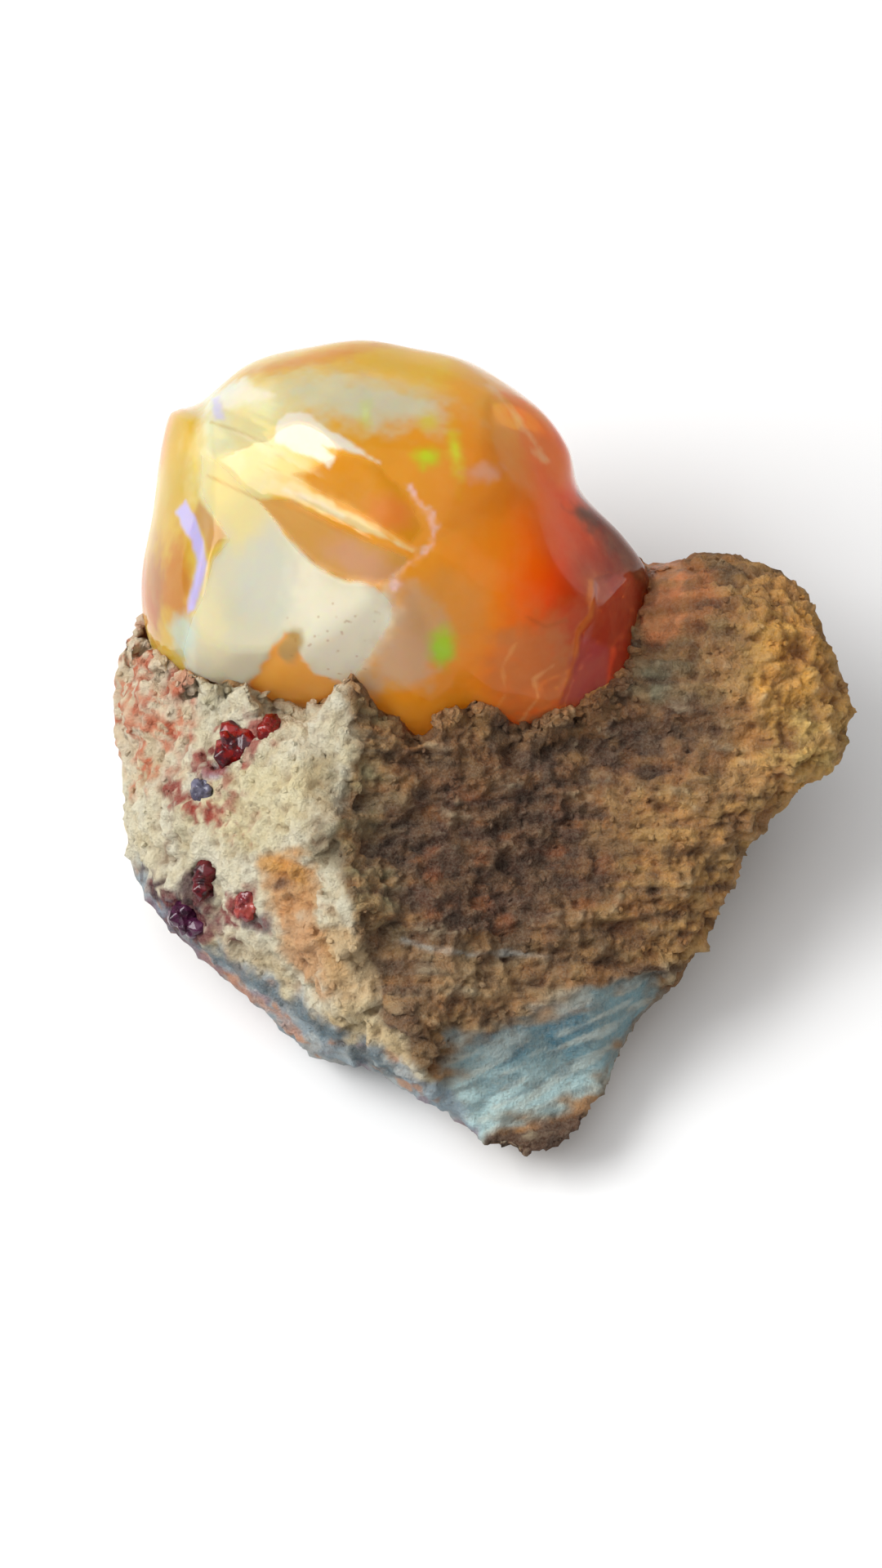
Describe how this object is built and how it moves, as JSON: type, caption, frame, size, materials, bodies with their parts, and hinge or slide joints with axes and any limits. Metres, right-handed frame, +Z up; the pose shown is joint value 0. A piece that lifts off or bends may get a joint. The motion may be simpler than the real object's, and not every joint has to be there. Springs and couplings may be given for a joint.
{
  "type": "rough fire opal in host rock",
  "caption": "Rough fire opal: a glassy yellow to red nodule seated in a pointed lump of tan volcanic rock, lying on its flat broken back.",
  "frame": {"origin": "middle of the bounding box of the underside, on the surface that it rests on", "axes": "+Z up from the flat broken back, +X to the right across the show face, +Y from the rock's point towards the opal"},
  "size_m": [0.0456, 0.0482, 0.0289],
  "materials": {
    "opal": "glassy, conchoidal, translucent fire opal",
    "rock": "granular broken volcanic rock, cream to orange tan",
    "red_bleb": "glassy dark red",
    "violet_bleb": "glassy dark purple",
    "grey_bleb": "waxy grey blue"
  },
  "bodies": {
    "root": {"host_rock": "rock", "opal_nodule": "opal", "cherry_bleb": "red_bleb", "crimson_bleb": "red_bleb", "garnet_bleb": "red_bleb", "rose_bleb": "red_bleb", "violet_bleb": "violet_bleb", "grey_bead": "grey_bleb"}
  },
  "joints": []
}
